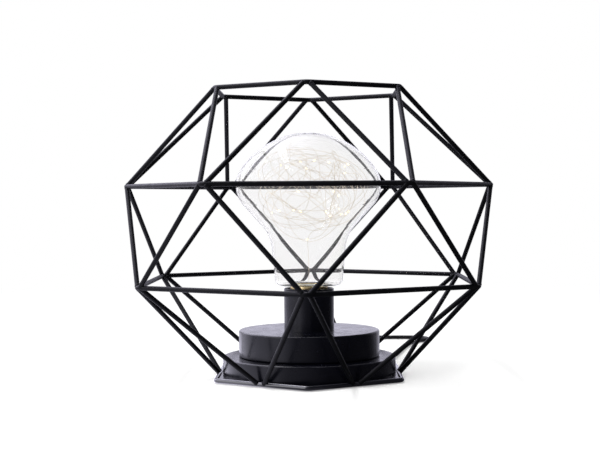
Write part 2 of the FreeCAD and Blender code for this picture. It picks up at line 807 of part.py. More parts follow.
def sampled_gap(points, diameter, skip):
    """Least free gap between stretches of a tube more than skip samples apart."""
    least = 1e9
    for k, point in enumerate(points):
        for other in points[k + skip:]:
            least = min(least, point.distanceToPoint(other))
    return least - diameter


# Light string: one thin wire rising through the neck and wound in tilted loops inside the globe
FAIRY_LOOPS = 8
FAIRY_TILT = math.radians(62)
FAIRY_STEP = math.radians(107)
fairy_z = value(CAP_TOP) + size("girdle_rise") - 2
fairy_out = 0.82 * size("bulb_radius")
fairy_in = 0.42 * size("bulb_radius")


def fairy_point(turns):
    share = turns / FAIRY_LOOPS
    reach = fairy_out + (fairy_in - fairy_out) * share
    round_angle = 2 * math.pi * turns - math.pi / 2
    swing = FAIRY_STEP * turns
    flat = V(math.cos(round_angle), math.sin(round_angle) * math.cos(FAIRY_TILT), 0)
    x = flat.x * math.cos(swing) - flat.y * math.sin(swing)
    y = flat.x * math.sin(swing) + flat.y * math.cos(swing)
    rise = 0.72 * math.sin(round_angle) * math.sin(FAIRY_TILT)
    return V(reach * x, reach * y, fairy_z + reach * rise)


def direction(curve, turns):
    return (curve(turns + 1e-4) - curve(turns - 1e-4)).normalize()


def wound(curve, first, last, steps):
    """Paired arcs along a curve, in equal steps."""
    marks = [first + (last - first) * k / steps for k in range(steps + 1)]
    edges = []
    for here, there in zip(marks, marks[1:]):
        edges += paired_arcs(curve(here), direction(curve, here), curve(there), direction(curve, there))
    return edges


fairy_foot = V(0, 0, value(NECK_END))
fairy_rise = fairy_foot + V(0, 0, size("neck_depth") + size("waist_rise") * 0.6)
fairy_edges = [Part.LineSegment(fairy_foot, fairy_rise).toShape()]
fairy_edges += paired_arcs(fairy_rise, V(0, 0, 1), fairy_point(0), direction(fairy_point, 0))
fairy_edges += wound(fairy_point, 0, FAIRY_LOOPS, FAIRY_LOOPS * 4)
node("fairy_wire", feature("fairy_tube", tube(fairy_edges, size("fairy_dia") / 2, 6)))
fairy_samples = [fairy_point(FAIRY_LOOPS * k / 1200.0) for k in range(1201)]
print("light string gap %.2f" % sampled_gap(fairy_samples, size("fairy_dia"), 40))

beads = []
for number in range(2 * FAIRY_LOOPS):
    mark = 0.3 + number * 0.5 - 0.1 * (number % 3)
    way = direction(fairy_point, mark) * size("bead_length") / 2
    middle = fairy_point(mark)
    beads.append(rod("bead_%d" % (number + 1), middle - way, middle + way, "sizes.bead_radius"))
bead_set = doc.addObject("Part::Compound", "bead_set")
bead_set.Links = beads
node("led_beads", bead_set)


# Cord exit: moulded strain relief through the disc's wall, and the two leads inside the base
FLANGE = "sizes.relief_radius + sizes.flange_lip"
GROOVE_IN = "(-sizes.sheet_wall - sizes.relief_slack)"
RELIEF_FOOT = "%s - sizes.flange_thick" % GROOVE_IN
relief_body = turned("relief_body", [
    ("0", RELIEF_FOOT),
    (FLANGE, RELIEF_FOOT),
    (FLANGE, GROOVE_IN),
    ("sizes.relief_radius", GROOVE_IN),
    ("sizes.relief_radius", "sizes.relief_slack"),
    (FLANGE, "sizes.relief_slack"),
    (FLANGE, "sizes.relief_slack + sizes.flange_thick"),
    ("sizes.relief_radius * 0.85", "sizes.relief_slack + sizes.flange_thick * 1.3"),
    ("sizes.cord_dia * 0.7", "sizes.relief_length"),
    ("0", "sizes.relief_length"),
])
relief_seat = EXIT * size("disc_radius") + EXIT_Z
relief_body.Placement = FreeCAD.Placement(relief_seat, FreeCAD.Rotation(V(0, 0, 1), EXIT))
node("strain_relief", relief_body)

across = EXIT.cross(V(0, 0, 1))
lead_tubes = []
lead_start = size("disc_radius") + value(RELIEF_FOOT)
lead_low = V(0, 0, value(NIPPLE_END) - 1.2 * size("lead_dia"))
for side in (1, -1):
    shift = across * (side * size("lead_dia") * 0.75)
    route = [
        EXIT * lead_start + EXIT_Z + shift,
        EXIT * (lead_start * 0.62) + EXIT_Z + shift,
        EXIT * (lead_start * 0.18) + lead_low + shift,
        lead_low + shift,
        V(0, 0, value(NIPPLE_TOP)) + shift,
    ]
    lead = tube(rounded_path(route, "inner lead"), size("lead_dia") / 2)
    lead_tubes.append(feature("lead_tube_%d" % (len(lead_tubes) + 1), lead))
lead_set = doc.addObject("Part::Compound", "lead_set")
lead_set.Links = lead_tubes
node("inner_leads", lead_set)


# Inline switch: two moulded halves, rocker on a pin, two screws from below
SWITCH_SPOT = V(-3, 214.5, 0)
SCREW_X = "sizes.switch_length * 0.36"
CAVITY_X = "(sizes.window_length / 2 + sizes.cavity_gap)"
CAVITY_Y = "(sizes.window_width / 2 + sizes.cavity_gap)"


def rectangle(sketch, half_x, half_y):
    polygon(sketch, [
        ("-(%s)" % half_x, "-(%s)" % half_y),
        (half_x, "-(%s)" % half_y),
        (half_x, half_y),
        ("-(%s)" % half_x, half_y),
    ])


def switch_half(name, bottom):
    body = new_body(name)
    sketch = new_sketch(body, name + "_outline", "XY_Plane", bottom)
    rectangle(sketch, "sizes.switch_length / 2", "sizes.switch_width / 2")
    padded(body, sketch, HALF, name + "_pad")
    rounded(body, along(V(0, 0, 1)), "sizes.switch_width * 0.3", name + "_corners")
    return body


base_half = switch_half("switch_lower", "0")
sketch = new_sketch(base_half, "lower_cavity", "XY_Plane", HALF)
rectangle(sketch, CAVITY_X, CAVITY_Y)
pocketed(base_half, sketch, "%s - sizes.switch_skin" % HALF, "lower_room")
sketch = new_sketch(base_half, "lower_screw_holes", "XY_Plane", HALF)
circles(sketch, [(SCREW_X, "0"), ("-" + SCREW_X, "0")], "sizes.pin_radius + sizes.fit_gap")
pocketed(base_half, sketch, "sizes.switch_height", "lower_bores")
sketch = new_sketch(base_half, "lower_head_seats", "XY_Plane", "sizes.seat_depth")
circles(sketch, [(SCREW_X, "0"), ("-" + SCREW_X, "0")], "sizes.pin_radius * 2 + sizes.fit_gap")
pocketed(base_half, sketch, "sizes.seat_depth * 2", "lower_seats")
base_half.Placement.Base = SWITCH_SPOT
node("switch_base", base_half)

cover_half = switch_half("switch_upper", HALF)
top_z = size("switch_height")
rounded(
    cover_half,
    lambda edge: all(abs(corner.Point.z - top_z) < 1e-6 for corner in edge.Vertexes),
    "sizes.switch_edge",
    "upper_edge",
)
sketch = new_sketch(cover_half, "upper_window", "XY_Plane", "sizes.switch_height + 1")
rectangle(sketch, "sizes.window_length / 2", "sizes.window_width / 2")
pocketed(cover_half, sketch, "sizes.switch_height", "upper_opening")
sketch = new_sketch(cover_half, "upper_cavity", "XY_Plane", HALF)
rectangle(sketch, CAVITY_X, CAVITY_Y)
pocketed(cover_half, sketch, "%s - sizes.switch_skin" % HALF, "upper_room", True)
sketch = new_sketch(cover_half, "upper_screw_holes", "XY_Plane", HALF)
circles(sketch, [(SCREW_X, "0"), ("-" + SCREW_X, "0")], "sizes.pin_radius + sizes.fit_gap")
pocketed(cover_half, sketch, "sizes.screw_bite * 1.2", "upper_bores", True)
cover_half.Placement.Base = SWITCH_SPOT
PIVOT = SWITCH_SPOT + V(0, 0, 0.68 * size("switch_height"))
pin_reach = V(0, size("window_width") / 2 + size("pin_bite"), 0)
pin_bore = rod("pin_bore", PIVOT - pin_reach, PIVOT + pin_reach, "sizes.pin_radius")
node("switch_cover", solid_cut("switch_upper_bored", cover_half, [pin_bore]))
node("rocker_pin", rod("pivot_pin", PIVOT - pin_reach, PIVOT + pin_reach, "sizes.pin_radius"))

rocker_body = new_body("rocker_body")
sketch = new_sketch(rocker_body, "rocker_outline", "XZ_Plane")
ROCK_X = "(sizes.window_length / 2 - sizes.rocker_gap * 2)"
polygon(sketch, [
    ("-" + ROCK_X, "-sizes.rocker_side"),
    ("-sizes.rocker_keel * 1.1", "-sizes.rocker_keel"),
    ("sizes.rocker_keel * 1.1", "-sizes.rocker_keel"),
    (ROCK_X, "-sizes.rocker_side"),
    (ROCK_X, "sizes.rocker_top"),
    ("0", "sizes.rocker_dip"),
    ("-" + ROCK_X, "sizes.rocker_top"),
])
circles(sketch, [("0", "0")], "sizes.pin_radius + sizes.fit_gap")
padded(rocker_body, sketch, "sizes.window_width - 2 * sizes.rocker_gap", "rocker_pad")
ROCKER_REST = 10
slide = V(0, size("window_width") / 2 - size("rocker_gap"), 0)
tilt = FreeCAD.Rotation(V(0, 1, 0), ROCKER_REST)
rocker_body.Placement = FreeCAD.Placement(PIVOT + slide, tilt)
node("switch_rocker", rocker_body)

switch_screws = []
for number, side in enumerate((1, -1), 1):
    seat = SWITCH_SPOT + V(side * value(SCREW_X), 0, size("seat_depth"))
    shank_top = seat + V(0, 0, value(HALF) + size("screw_bite") - size("seat_depth"))
    head = rod("small_head_%d" % number, seat - V(0, 0, size("small_head")), seat, "sizes.pin_radius * 2")
    shank = rod("small_shank_%d" % number, seat, shank_top, "sizes.pin_radius")
    screw = doc.addObject("Part::Fuse", "small_screw_%d" % number)
    screw.Base = head
    screw.Tool = shank
    switch_screws.append(screw)
small_set = doc.addObject("Part::Compound", "small_screw_set")
small_set.Links = switch_screws
node("switch_screws", small_set)


# Cord: lead from the lamp to the switch, tail to the coil, wound coil with its tie, plug at the end
CORD = size("cord_dia") / 2
LIE = CORD + 0.1
relief_end = relief_seat + EXIT * size("relief_length")
entry_z = value(HALF)
switch_in = SWITCH_SPOT + V(size("switch_length") / 2, 0, entry_z)
switch_out = SWITCH_SPOT + V(-size("switch_length") / 2, 0, entry_z)
lead_route = [
    relief_end,
    relief_end + EXIT * 9,
    V(59.8, 75, 3.6),
    V(64.0, 93, LIE),
    V(69.9, 122, LIE),
    V(75.2, 149, LIE),
    V(81.6, 176, LIE),
    V(90.0, 189.5, LIE),
    V(98.2, 197.5, LIE),
    V(98.2, 207.5, LIE),
    V(90.4, 214.6, LIE),
    V(74.0, 216.2, LIE),
    V(54.0, 214.2, LIE),
    switch_in + V(18, 0.4, -2.2),
    switch_in + V(9, 0, 0),
    switch_in,
]
node("cord_lead", feature("lead_cord", tube(rounded_path(lead_route, "lead"), CORD)))

COIL_TURNS = 5
COIL_MID = V(-24, 138, 0)
coil_pitch = size("cord_dia") + size("coil_gap")
coil_in = size("coil_inner")
coil_out = coil_in + COIL_TURNS * coil_pitch
coil_low = size("tie_thick") + size("tie_gap") + CORD


def coil_point(turns):
    """Spiral in on the lower layer, climb in the half turn at the middle, spiral out on the upper."""
    past = turns - COIL_TURNS
    radius = coil_out - turns * coil_pitch
    height = coil_low
    if past > 0.5:
        radius = coil_in + (past - 0.5) * coil_pitch
        height = coil_low + coil_pitch
    elif past > 0:
        radius = coil_in - coil_pitch * past * (1 - 2 * past)
        height = coil_low + coil_pitch * (3 * (2 * past) ** 2 - 2 * (2 * past) ** 3)
    return COIL_MID + polar(radius, 180 + 360 * turns, height)


coil_end = 2 * COIL_TURNS + 0.5
straight = V(0, 2 * size("cord_dia"), 0)
coil_start_spot = coil_point(0) + straight
coil_end_spot = coil_point(coil_end) + straight
marks = [k / 2.0 for k in range(int(2 * coil_end) + 1)]
ways = [direction(coil_point, mark) for mark in marks]
ways[0] = V(0, -1, 0)
ways[-1] = V(0, 1, 0)
coil_edges = [Part.LineSegment(coil_start_spot, coil_point(0)).toShape()]
for here, there, way, next_way in zip(marks, marks[1:], ways, ways[1:]):
    coil_edges += paired_arcs(coil_point(here), way, coil_point(there), next_way)
coil_edges.append(Part.LineSegment(coil_point(coil_end), coil_end_spot).toShape())
node("cord_coil", feature("coil_cord", tube(coil_edges, CORD, 8)))
coil_samples = [coil_point(coil_end * k / 1500.0) for k in range(1501)]
print("coil gap %.2f" % sampled_gap(coil_samples, size("cord_dia"), 60))

tail_route = [
    switch_out,
    switch_out + V(-8, 0, 0),
    V(-45, 209.5, 3.4),
    V(-51, 198, LIE),
    V(-51.4, 182, LIE),
    coil_start_spot + V(-1.4, 21, 0),
    coil_start_spot + V(0, 10, 0),
    coil_start_spot,
]
node("cord_tail", feature("tail_cord", tube(rounded_path(tail_route, "tail"), CORD)))

TIE_ANGLE = 100
tie_in = size("tie_gap") + CORD
inner_r = coil_in - tie_in
outer_r = coil_out + tie_in
inner_h = coil_pitch + 2 * tie_in
wrap = size("tie_thick")
band = Part.makeBox(outer_r - inner_r + 2 * wrap, size("tie_width"), inner_h + 2 * wrap)
room = Part.makeBox(outer_r - inner_r, size("tie_width"), inner_h, V(wrap, 0, wrap))
tie = feature("tie_band", band.cut(room))
tie_turn = FreeCAD.Rotation(V(0, 0, 1), TIE_ANGLE)
tie_corner = V(inner_r - wrap, -size("tie_width") / 2, 0)
tie.Placement = FreeCAD.Placement(COIL_MID + tie_turn.multVec(tie_corner), tie_turn)
node("coil_tie", tie)

plug_mid = size("plug_height") / 2
PLUG_SPOT = V(coil_end_spot.x, coil_end_spot.y + 16, 0)
end_route = [
    coil_end_spot,
    coil_end_spot + V(0, 4, 0),
    PLUG_SPOT + V(0, -4, plug_mid),
    PLUG_SPOT + V(0, 0, plug_mid),
]
node("cord_end", feature("end_cord", tube(rounded_path(end_route, "cord end"), CORD)))

plug = new_body("plug_moulding")
sketch = new_sketch(plug, "plug_outline", "XY_Plane")
polygon(sketch, [
    ("-sizes.plug_width / 2", "0"),
    ("sizes.plug_width / 2", "0"),
    ("sizes.plug_width / 2", "sizes.plug_length"),
    ("-sizes.plug_width / 2", "sizes.plug_length"),
])
padded(plug, sketch, "sizes.plug_height", "plug_pad")
rounded(plug, along(V(0, 1, 0)), "sizes.plug_edge", "plug_long_edges")
plug.Placement.Base = PLUG_SPOT
node("plug_body", plug)

METAL_LOW = "(sizes.plug_height - sizes.metal_height) / 2"
METAL_ROOM = "(sizes.metal_width - 2 * sizes.metal_wall)"
sleeve = block(
    "sleeve_outer",
    ("sizes.metal_width", "sizes.metal_length", "sizes.metal_height"),
    ("-sizes.metal_width / 2", "sizes.plug_length", METAL_LOW),
)
sleeve_room = block(
    "sleeve_room",
    (METAL_ROOM, "sizes.metal_length", "sizes.metal_height - 2 * sizes.metal_wall"),
    ("-sizes.metal_width / 2 + sizes.metal_wall", "sizes.plug_length", METAL_LOW + " + sizes.metal_wall"),
)
plug_shell = solid_cut("sleeve", sleeve, [sleeve_room])
plug_shell.Placement.Base = PLUG_SPOT
node("plug_shell", plug_shell)
tongue = block(
    "tongue_block",
    ("%s - 2 * sizes.fit_gap" % METAL_ROOM, "sizes.metal_length * 0.9", "sizes.metal_height * 0.4"),
    (
        "%r - %s / 2 + sizes.fit_gap" % (PLUG_SPOT.x, METAL_ROOM),
        "%r + sizes.plug_length" % PLUG_SPOT.y,
        METAL_LOW + " + sizes.metal_wall",
    ),
)
node("plug_tongue", tongue)


# Check every object, then write one file for each node
doc.recompute()
for item in doc.Objects:
    if "Invalid" in item.State or "Error" in item.State:
        raise RuntimeError("%s is %s" % (item.Name, item.State))
os.makedirs("parts", exist_ok=True)
for name, item in nodes:
    shape = item.Shape
    if shape.isNull() or not shape.isValid() or not shape.Solids:
        raise RuntimeError("bad shape in " + name)
    shape.exportStep("parts/%s.step" % name)
print("nodes", len(nodes))
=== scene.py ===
import bmesh
import bpy
import json
import math
import random
from mathutils import Matrix, Vector


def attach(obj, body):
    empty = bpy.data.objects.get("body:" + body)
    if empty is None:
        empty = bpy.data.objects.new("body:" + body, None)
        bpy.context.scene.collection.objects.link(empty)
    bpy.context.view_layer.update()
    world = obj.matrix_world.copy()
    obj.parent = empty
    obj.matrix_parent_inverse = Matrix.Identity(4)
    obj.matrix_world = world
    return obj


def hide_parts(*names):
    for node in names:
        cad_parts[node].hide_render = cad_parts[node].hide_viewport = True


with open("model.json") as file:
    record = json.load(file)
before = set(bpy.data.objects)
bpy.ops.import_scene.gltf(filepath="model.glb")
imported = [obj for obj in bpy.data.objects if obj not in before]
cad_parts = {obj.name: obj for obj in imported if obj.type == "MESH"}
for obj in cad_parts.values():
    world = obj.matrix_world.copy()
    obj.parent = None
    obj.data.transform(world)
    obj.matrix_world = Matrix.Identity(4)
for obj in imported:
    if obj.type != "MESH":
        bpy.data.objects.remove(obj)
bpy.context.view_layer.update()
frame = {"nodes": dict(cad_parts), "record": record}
nodes = frame["nodes"]
scene = bpy.context.scene
scene.view_settings.view_transform = "Standard"
MM = 0.001
UP = Vector((0, 0, 1))


# Camera at the photograph's viewpoint; the image is 600 by 450
IMAGE_WIDTH = 600
FOCAL_PIXELS = 1221.5
CENTRE_X = 308.6
EYE = Vector((0.01014, -0.8342, 0.1201))
FORWARD = Vector((-0.01215, 0.99972, -0.0204)).normalized()
ROLL = -0.005807
SENSOR_WIDTH = 36
NEAREST = 0.01


def make_camera():
    level = FORWARD.cross(UP).normalized()
    upright = level.cross(FORWARD)
    right = level * math.cos(ROLL) + upright * math.sin(ROLL)
    up = upright * math.cos(ROLL) - level * math.sin(ROLL)
    lens = bpy.data.cameras.new("photo_camera")
    lens.sensor_fit = "HORIZONTAL"
    lens.sensor_width = SENSOR_WIDTH
    lens.lens = FOCAL_PIXELS * SENSOR_WIDTH / IMAGE_WIDTH
    lens.shift_x = (IMAGE_WIDTH / 2 - CENTRE_X) / IMAGE_WIDTH
    lens.clip_start = NEAREST
    camera = bpy.data.objects.new("photo_camera", lens)
    turn = Matrix((right, up, -FORWARD)).transposed().to_4x4()
    camera.matrix_world = Matrix.Translation(EYE) @ turn
    scene.collection.objects.link(camera)
    scene.camera = camera


make_camera()


# Studio that gloss mirrors: where each part starts and ends along a direction, and how bright it is there
FRONT_WALL = (0.3, -0.2, 0.08, 0.8)
LEFT_WINDOW = (-0.2, -0.7, 0.0, 2.8)
WINDOW_FADE = (0.05, 0.35, 1.0, 0.12)
BACK_WALL = (0.4, 0.92, 0.12, 1.35)
CEILING = (0.5, 0.9, 0.0, 0.4)
HIGH_LAMP = (0.62, 0.86, 0.0, 6.0)
LAMP_WAY = Vector((-0.58, 0.3, 0.76)).normalized()
ROOM_TINT = (0.97, 0.95, 1.14)

# Most values of a noise texture lie between these
NOISE_LOW = 0.3
NOISE_HIGH = 0.7


# Node helpers for the materials and the room
class Shader:
    """A node tree of a material or of the world, with short calls for the nodes used here."""

    def __init__(self, name, world=False):
        self.owner = (bpy.data.worlds if world else bpy.data.materials).new(name)
        self.owner.use_nodes = True
        self.tree = self.owner.node_tree
        self.tree.nodes.clear()
        self.out = self.add("ShaderNodeOutputWorld" if world else "ShaderNodeOutputMaterial")

    def add(self, kind, **values):
        node = self.tree.nodes.new(kind)
        for key, value in values.items():
            if hasattr(node, key):
                setattr(node, key, value)
            else:
                node.inputs[key.replace("_", " ")].default_value = value
        return node

    def link(self, source, target):
        self.tree.links.new(source, target)

    def feed(self, source, target):
        """Give the target socket a plain number, or link another socket to it."""
        if isinstance(source, (int, float)):
            target.default_value = source
        else:
            self.link(source, target)

    def principled(self, **values):
        node = self.add("ShaderNodeBsdfPrincipled", **values)
        self.link(node.outputs[0], self.out.inputs["Surface"])
        return node

    def place(self, stretch=(1, 1, 1)):
        """The object's own coordinates, stretched."""
        coordinates = self.add("ShaderNodeTexCoord")
        mapping = self.add("ShaderNodeMapping")
        mapping.inputs["Scale"].default_value = stretch
        self.link(coordinates.outputs["Object"], mapping.inputs["Vector"])
        return mapping.outputs["Vector"]

    def noise(self, scale, detail=3.0, stretch=(1, 1, 1)):
        node = self.add("ShaderNodeTexNoise", Scale=scale, Detail=detail)
        self.link(self.place(stretch), node.inputs["Vector"])
        return node.outputs["Fac"]

    def ramp(self, factor, stops, target):
        """Colours or grey levels along factor, linked to the target socket."""
        node = self.add("ShaderNodeValToRGB")
        elements = node.color_ramp.elements
        while len(elements) < len(stops):
            elements.new(0.5)
        for element, (position, colour) in zip(elements, stops):
            element.position = position
            element.color = colour if len(colour) == 4 else (*colour, 1)
        self.link(factor, node.inputs["Fac"])
        self.link(node.outputs["Color"], target)

    def level(self, factor, low, high, target):
        """Grey level from low to high along a noise, linked to the target socket."""
        self.link(self.span(factor, NOISE_LOW, NOISE_HIGH, low, high), target)

    def bump(self, height, strength, distance, target):
        node = self.add("ShaderNodeBump", Strength=strength, Distance=distance)
        self.link(height, node.inputs["Height"])
        self.link(node.outputs["Normal"], target)

    def math(self, operation, *sources):
        """Result of a sum on sockets or plain numbers."""
        node = self.add("ShaderNodeMath", operation=operation)
        for socket, source in zip(node.inputs, sources):
            self.feed(source, socket)
        return node.outputs[0]

    def span(self, source, start, end, low, high):
        """A value that goes from low to high while the source goes from start to end."""
        node = self.add("ShaderNodeMapRange", From_Min=start, From_Max=end, To_Min=low, To_Max=high)
        self.link(source, node.inputs["Value"])
        return node.outputs["Result"]

    def mix(self, factor, first, second):
        node = self.add("ShaderNodeMixShader")
        for socket, source in zip(node.inputs, (factor, first, second)):
            self.link(source, socket)
        return node.outputs[0]

    def glow(self, kind, strength, colour=(1, 1, 1)):
        """Light from a background or a surface; strength is a number or a socket."""
        node = self.add(kind)
        node.inputs["Color"].default_value = (*colour, 1)
        self.feed(strength, node.inputs["Strength"])
        return node.outputs[0]

    def ray(self):
        """Two factors: rays that see the room at all, and those of them mirrored by a gloss."""
        path = self.add("ShaderNodeLightPath").outputs
        mirrored = self.math("MAXIMUM", path["Is Camera Ray"], path["Is Glossy Ray"])
        seen = self.math("MAXIMUM", mirrored, path["Is Transmission Ray"])
        gloss = self.math("SUBTRACT", path["Is Glossy Ray"], path["Is Transmission Ray"])
        return seen, self.math("MAXIMUM", gloss, 0.0)

    def room(self, direction):
        """Brightness of the studio by direction: white behind, a low window and a high lamp on the left."""
        parts = self.add("ShaderNodeSeparateXYZ")
        self.link(direction, parts.inputs[0])
        across, along, up = parts.outputs
        front = self.span(across, *FRONT_WALL)
        left = self.span(across, *LEFT_WINDOW)
        sides = self.math("MULTIPLY", self.math("MAXIMUM", front, left), self.span(up, *WINDOW_FADE))
        walls = self.math("MAXIMUM", sides, self.span(along, *BACK_WALL))
        towards = self.add("ShaderNodeVectorMath", operation="DOT_PRODUCT")
        towards.inputs[1].default_value = LAMP_WAY
        self.link(direction, towards.inputs[0])
        lamp = self.span(towards.outputs["Value"], *HIGH_LAMP)
        return self.math("MAXIMUM", walls, self.math("MAXIMUM", self.span(up, *CEILING), lamp))


def grey(value):
    return (value, value, value)


# Materials; noise scales are per metre, and a bump is its strength and its depth in metres
MOTTLE_LOW = 0.35
MOTTLE_HIGH = 0.65
GLOSS_SCALE = 2.3
PAINT_SCALE = 60
PAINT_PEEL_SCALE = 1400


def speckled(name, dark, light, rough, scale, bump_scale, bump, **values):
    """Surface whose colour, gloss and fine relief all vary with noise."""
    shader = Shader(name)
    body = shader.principled(**values)
    mottle = [(MOTTLE_LOW, dark), (MOTTLE_HIGH, light)]
    shader.ramp(shader.noise(scale), mottle, body.inputs["Base Color"])
    shader.level(shader.noise(scale * GLOSS_SCALE), *rough, body.inputs["Roughness"])
    shader.bump(shader.noise(bump_scale, 4), *bump, body.inputs["Normal"])
    return shader.owner


def paint(name, dark, light, rough, bump, ior):
    """Black coat with a slight orange peel."""
    return speckled(name, dark, light, rough, PAINT_SCALE, PAINT_PEEL_SCALE, bump, IOR=ior)


def brushed(name, dark, light, rough, stretch, scale):
    """Metal with fine drawn lines."""
    shader = Shader(name)
    body = shader.principled(Metallic=1.0)
    shader.ramp(shader.noise(90), [(NOISE_LOW, dark), (NOISE_HIGH, light)], body.inputs["Base Color"])
    lines = shader.noise(scale, 2, stretch)
    shader.level(lines, *rough, body.inputs["Roughness"])
    shader.bump(lines, 0.03, 0.00005, body.inputs["Normal"])
    return shader.owner


def fabric(name, dark, light, thread, bump):
    """Woven or felted cloth."""
    shader = Shader(name)
    body = shader.principled(Sheen_Weight=0.3)
    tones = [(NOISE_LOW, dark), (NOISE_HIGH, light)]
    shader.ramp(shader.noise(thread, 5), tones, body.inputs["Base Color"])
    shader.level(shader.noise(thread * 0.4), 0.8, 1.0, body.inputs["Roughness"])
    shader.bump(shader.noise(thread, 6), bump, 0.0003, body.inputs["Normal"])
    return shader.owner


def glass_material():
    """Thin clear blown glass that bends what lies behind it a little, with a faint milky film."""
    shader = Shader("blown_glass")
    glass = shader.add("ShaderNodeBsdfPrincipled", IOR=1.1, Transmission_Weight=1.0, Coat_Weight=0.02)
    rim = shader.add("ShaderNodeLayerWeight", Blend=0.5)
    thickness = [(0.0, (0.972, 0.969, 0.968)), (0.55, (0.962, 0.959, 0.958)), (0.95, (0.86, 0.86, 0.88))]
    shader.ramp(rim.outputs["Facing"], thickness, glass.inputs["Base Color"])
    shader.level(shader.noise(25), 0.0, 0.015, glass.inputs["Roughness"])
    shader.bump(shader.noise(90, 1), 0.12, 0.0006, glass.inputs["Normal"])
    film = shader.add("ShaderNodeBsdfDiffuse")
    tints = [(0.45, (0.96, 0.95, 1.0)), (0.7, (1.0, 0.96, 0.88))]
    shader.ramp(shader.noise(30, 1), tints, film.inputs["Color"])
    amount = shader.span(shader.noise(40), NOISE_LOW, NOISE_HIGH, 0.024, 0.04)
    shader.link(shader.mix(amount, glass.outputs[0], film.outputs[0]), shader.out.inputs["Surface"])
    return shader.owner


def led_material():
    """Warm white chip glowing in a drop of resin."""
    shader = Shader("led_drop")
    body = shader.principled(Base_Color=(0.9, 0.82, 0.6, 1), Roughness=0.2, Emission_Strength=1.3)
    warm = [(NOISE_LOW, (1.0, 0.78, 0.42)), (NOISE_HIGH, (1.0, 0.9, 0.66))]
    shader.ramp(shader.noise(300), warm, body.inputs["Emission Color"])
    return shader.owner


BLACK_PAINT = ((0.0018, 0.002, 0.004), (0.0028, 0.003, 0.0058))
DIPPED_PAINT = ((0.002, 0.0021, 0.003), (0.0035, 0.0036, 0.0045))
BLACK_PLASTIC = ((0.008, 0.008, 0.009), (0.016, 0.016, 0.017))
materials = {
    "black_paint": paint("satin_black_paint", *BLACK_PAINT, (0.2, 0.28), (0.03, 0.0001), 1.25),
    "wire_paint": paint("dull_black_paint", *DIPPED_PAINT, (0.4, 0.5), (0.05, 0.0001), 1.15),
    "foot_paint": paint("gloss_black_paint", *BLACK_PAINT, (0.13, 0.19), (0.03, 0.0001), 1.5),
    "black_felt": fabric("black_felt", grey(0.006), grey(0.03), 900, 0.6),
    "ballast_iron": speckled(
        "cast_iron", grey(0.03), (0.08, 0.07, 0.06), (0.5, 0.75), 120, 500, (0.4, 0.0003), Metallic=0.8),
    "zinc_steel": brushed(
        "zinc_steel", (0.45, 0.46, 0.48), (0.62, 0.63, 0.65), (0.22, 0.4), (1, 1, 8), 300),
    "socket_resin": speckled(
        "socket_resin", (0.012, 0.010, 0.009), (0.03, 0.025, 0.02), (0.35, 0.5), 80, 700, (0.1, 0.0001)),
    "socket_brass": brushed(
        "socket_brass", (0.52, 0.36, 0.14), (0.72, 0.54, 0.25), (0.2, 0.35), (1, 1, 6), 250),
    "clear_glass": glass_material(),
    "cap_brass": brushed(
        "cap_brass", (0.46, 0.36, 0.16), (0.68, 0.54, 0.28), (0.18, 0.32), (1, 1, 6), 250),
    "cap_resin": speckled(
        "cap_glass_black", (0.006, 0.006, 0.008), (0.012, 0.011, 0.014), (0.08, 0.16),
        60, 300, (0.05, 0.0001)),
    "solder": speckled(
        "solder", (0.5, 0.5, 0.52), (0.68, 0.68, 0.7), (0.25, 0.45), 300, 600, (0.3, 0.0002), Metallic=1.0),
    "board_resin": speckled(
        "board_resin", (0.35, 0.42, 0.32), (0.45, 0.52, 0.4), (0.35, 0.5), 400, 1500, (0.2, 0.00005)),
    "copper_wire": speckled(
        "lacquered_copper", (0.58, 0.5, 0.4), (0.76, 0.67, 0.55), (0.3, 0.45), 500, 900, (0.05, 0.00003),
        Metallic=0.5),
    "led_resin": led_material(),
    "cord_rubber": speckled(
        "cord_rubber", grey(0.003), grey(0.006), (0.5, 0.65), 200, 1600, (0.12, 0.00008), IOR=1.2),
    "lead_sleeve": speckled(
        "lead_sleeve", (0.25, 0.08, 0.05), (0.35, 0.12, 0.08), (0.4, 0.55), 300, 900, (0.1, 0.00005)),
    "tie_fabric": fabric("tie_fabric", grey(0.01), grey(0.035), 1400, 0.7),
    "switch_plastic": speckled(
        "switch_plastic", *BLACK_PLASTIC, (0.38, 0.5), 150, 2600, (0.35, 0.00008), IOR=1.3),
    "rocker_plastic": speckled(
        "rocker_plastic", *BLACK_PLASTIC, (0.25, 0.35), 150, 1800, (0.1, 0.00005), IOR=1.3),
    "plug_steel": brushed(
        "plug_steel", (0.55, 0.55, 0.56), (0.72, 0.72, 0.73), (0.16, 0.3), (1, 6, 1), 400),
    "tongue_plastic": speckled(
        "tongue_plastic", grey(0.55), grey(0.7), (0.4, 0.5), 200, 900, (0.08, 0.00005)),
}

slots = {part["node"]: part["material_slot"] for part in frame["record"]["subparts"]}
CAGE_WIRE = ("lower_ring", "upper_ring", "top_ring", "lower_strut", "middle_strut", "upper_strut")


def finish_of(node_name):
    """Finish of a CAD node; on the cage wire the black paint is dull, and on its foot ring it pools."""
    if node_name == "foot_ring":
        return "foot_paint"
    return "wire_paint" if node_name.startswith(CAGE_WIRE) else slots[node_name]


def dress(piece, finish):
    piece.data.materials.clear()
    piece.data.materials.append(materials[finish])


# Pieces that scene.py adds
def settle(piece, body, slot_name, stands_for=()):
    """Link a piece into the scene, give it the material of its slot and its body, and hide the CAD nodes it
    stands for.
    """
    scene.collection.objects.link(piece)
    dress(piece, slot_name)
    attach(piece, body)
    if stands_for:
        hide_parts(*stands_for)
    return piece


